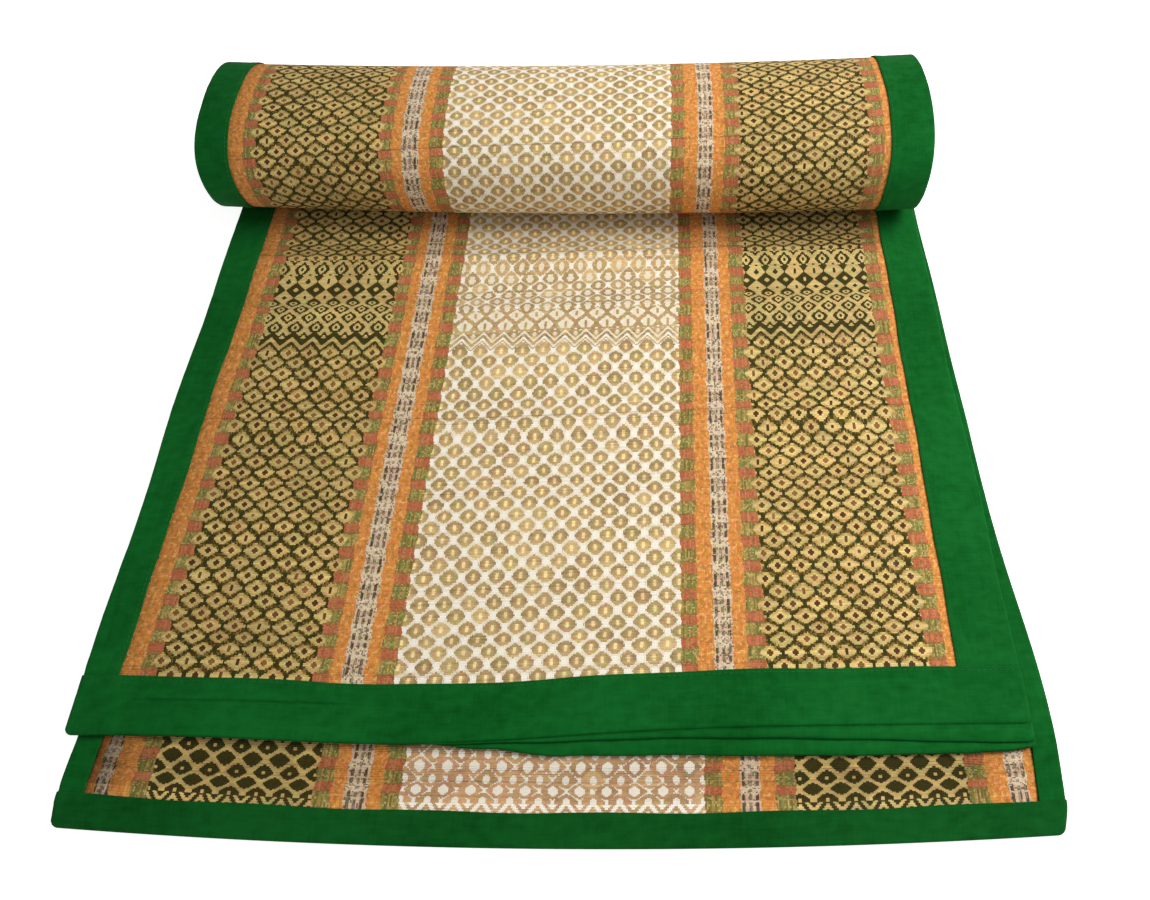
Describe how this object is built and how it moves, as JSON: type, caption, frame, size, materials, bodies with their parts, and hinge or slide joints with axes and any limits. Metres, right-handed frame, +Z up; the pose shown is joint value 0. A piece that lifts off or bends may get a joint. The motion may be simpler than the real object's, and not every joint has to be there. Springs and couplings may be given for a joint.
{
  "type": "grass floor mat",
  "caption": "Woven reed floor mat with a wide cloth binding, folded double across its length and loosely rolled from the fold, its bound ends lying flat in front.",
  "frame": {"origin": "on the floor, under the middle of the footprint", "axes": "+Z up; +Y from the mat's flat bound ends towards its roll; +X to the right as seen from the flat ends"},
  "size_m": [0.6281, 0.6346, 0.0983],
  "materials": {
    "reed_weave": "woven",
    "binding_cloth": "matte"
  },
  "bodies": {
    "root": {"woven_panel": "reed_weave", "binding_left": "binding_cloth", "binding_right": "binding_cloth", "binding_upper_end": "binding_cloth", "binding_lower_end": "binding_cloth"}
  },
  "joints": []
}
